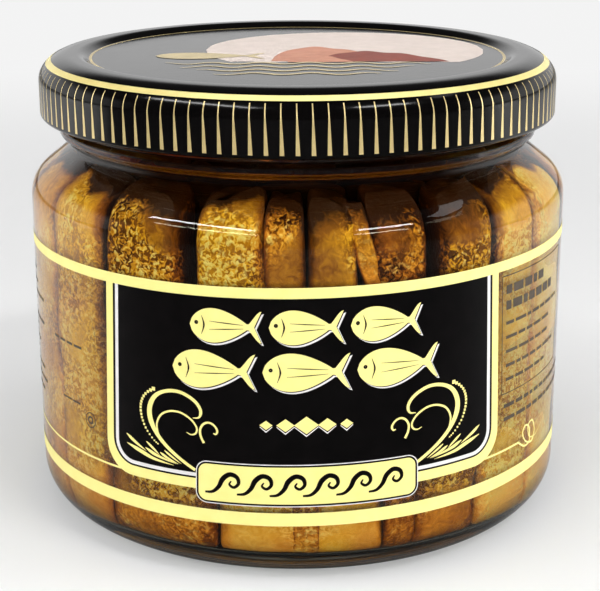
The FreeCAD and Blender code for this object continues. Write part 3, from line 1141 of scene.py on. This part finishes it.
def floor_material():
    """A pale floor to the eye. In glass and lacquer its front half shows dark, as under a black card.

    Rays that pass straight through the whole jar see it pale again. Far off it fades to the
    white surround.
    """
    material, tree, out = new_material("pale_floor")
    pale = mottled(tree, 3, 3, (0.80, 0.80, 0.80), (0.84, 0.84, 0.84))
    place = place_of(tree)
    along = add(tree, "SeparateXYZ", Vector=place).outputs["Y"]
    path = add(tree, "LightPath").outputs
    near = passage(tree, along, 0.055, 0.095, -0.92, 0.0)
    in_glass = maths(tree, "MULTIPLY_ADD", path["Is Transmission Ray"], near, 1.0)
    card = maths(tree, "MULTIPLY", passage(tree, along, -0.06, 0.03, 0.05, 0.84), in_glass)
    straight_on = maths(tree, "MULTIPLY_ADD", path["Glossy Depth"], -20.0, path["Transmission Depth"])
    through = maths(tree, "GREATER_THAN", straight_on, 3.5)
    lighting = maths(tree, "ADD", through, path["Diffuse Depth"])
    plain = maths(tree, "ADD", path["Is Camera Ray"], lighting, clamp=True)
    tone = add(tree, "MixRGB", Fac=plain, Color1=card, Color2=pale).outputs[0]
    shader = principled(tree, out, Base_Color=tone, Roughness=0.7, Specular_IOR_Level=0.2,
                        Normal=bump(tree, noise(tree, 400, 3), 0.00005, 0.2))
    distance = add(tree, "VectorMath", {"operation": "LENGTH"}, Vector=place).outputs["Value"]
    far = passage(tree, distance, 0.10, 0.45, 0.0, 1.0)
    faded = maths(tree, "MULTIPLY", far, path["Is Camera Ray"])
    white = add(tree, "Emission", Color=surround, Strength=1.0).outputs[0]
    mix = add(tree, "MixShader", _0=faded, _1=shader, _2=white)
    tree.links.new(mix.outputs[0], out.inputs["Surface"])
    return material


def build_floor():
    """A flat pale sheet, 6 m across."""
    side = np.linspace(-3000, 3000, 9)
    grid = np.stack(np.meshgrid(side, side, 0.0, indexing="ij"), -1)[:, ::-1, 0]
    floor = make_mesh("floor", [surface(grid)], floor_material())


def lit_group(name, chosen):
    """A collection of the meshes whose names pass a test, for a lamp to light."""
    group = bpy.data.collections.new(name)
    for piece in bpy.context.scene.collection.objects:
        if piece.type == "MESH" and chosen(piece.name):
            group.objects.link(piece)
    return group


def point_at(thing, place, aim, roll=0.0):
    """Stands a lamp or camera at a place, turned to its aim and rolled by degrees."""
    way = (Vector(aim) - Vector(place)).to_track_quat("-Z", "Y")
    thing.rotation_euler = (way @ Quaternion((0, 0, 1), math.radians(roll))).to_euler()
    thing.location = place


def lamp(name, place, aim, size, radiance, only=None):
    """A rectangular lamp of one brightness at its face, in metres, for all or only some pieces."""
    data = bpy.data.lights.new(name, "AREA")
    data.shape = "RECTANGLE"
    data.size, data.size_y = size
    data.energy = radiance * math.pi * size[0] * size[1]
    made = put(name, data)
    point_at(made, place, aim)
    made.visible_camera = False
    if only:
        made.light_linking.receiver_collection = only


def strip(name, angle, climb, span, thick, radiance):
    """A long thin lamp square to the line from the jar: its angle from the front, and its climb."""
    reach, height = 0.45, 0.05
    angle, climb = math.radians(angle), math.radians(climb)
    place = (reach * math.sin(angle), -reach * math.cos(angle), height + reach * math.tan(climb))
    length = 2 * reach * math.tan(math.radians(span / 2))
    lamp(name, place, (0, 0, height), (length, thick), radiance)


def build_world():
    """White low down behind and beside the jar, dark in front of it and above."""
    world = bpy.data.worlds.new("studio")
    bpy.context.scene.world = world
    world.use_nodes = True
    tree = world.node_tree
    tree.nodes.clear()
    way = add(tree, "SeparateXYZ", Vector=add(tree, "TexCoord").outputs["Generated"]).outputs
    back = passage(tree, way["Y"], -0.35, 0.2, 0.0, 1.0)
    under = passage(tree, way["Z"], 0.28, 0.5, 0.86, 0.05)
    level = maths(tree, "MAXIMUM", maths(tree, "MULTIPLY", back, under), 0.04)
    path = add(tree, "LightPath").outputs
    in_glass = maths(tree, "MULTIPLY_ADD", path["Is Transmission Ray"], -0.85, 1.0)
    dimmed = maths(tree, "MULTIPLY", level, in_glass)
    mix = add(tree, "MixRGB", Fac=path["Is Camera Ray"], Color1=dimmed, Color2=surround)
    background = add(tree, "Background", Color=mix.outputs[0], Strength=1.0)
    out = tree.nodes.new("ShaderNodeOutputWorld")
    tree.links.new(background.outputs[0], out.inputs["Surface"])


build_floor()
build_world()
strip("strip_left", -54, 53, 64, 0.055, 17.0)
strip("strip_right", 45, 48, 30, 0.055, 17.0)
strip("strip_far_right", 102, 53, 36, 0.08, 1.4)
smooth = ("clear_jar", "oil_fill", "twist_off_lid", "label_black_ink", "label_film")
matt = lit_group("matt_pieces", lambda name: name not in smooth)
fish = lit_group("fish_pieces", lambda name: name.startswith("fish_"))
lamp("front_fill", (0.0, -0.80, 0.40), (0, 0, 0.03), (1.1, 0.5), 2.8, matt)
lamp("table_fill", (0.0, -0.45, 0.06), (0, 0, 0.02), (0.8, 0.12), 9.2, fish)
lamp("top_fill", (0.0, 0.0, 0.75), (0, 0, 0.04), (0.6, 0.5), 1.6, matt)
lamp("side_left", (-0.55, 0.10, 0.18), (0, 0, 0.04), (0.30, 0.34), 3.8, matt)
lamp("side_right", (0.55, -0.05, 0.17), (0, 0, 0.04), (0.30, 0.34), 6.0, matt)
lamp("back_fill", (0.0, 0.60, 0.22), (0, 0, 0.03), (0.9, 0.4), 2.4, fish)


def build_camera():
    """A long lens 25 cm from the jar's axis and 3.5 cm above its lid, aimed near its middle."""
    data = bpy.data.cameras.new("camera")
    data.lens = 93.98
    data.sensor_width = 36
    data.clip_start = 0.01
    data.clip_end = 20
    camera = put("camera", data)
    point_at(camera, (0, -0.24494, 0.10599), (0.000342, 0, 0.030569), -0.096)
    bpy.context.scene.camera = camera


build_camera()
scene = bpy.context.scene
scene.view_settings.view_transform = "Standard"
scene.cycles.caustics_refractive = False
scene.cycles.caustics_reflective = False
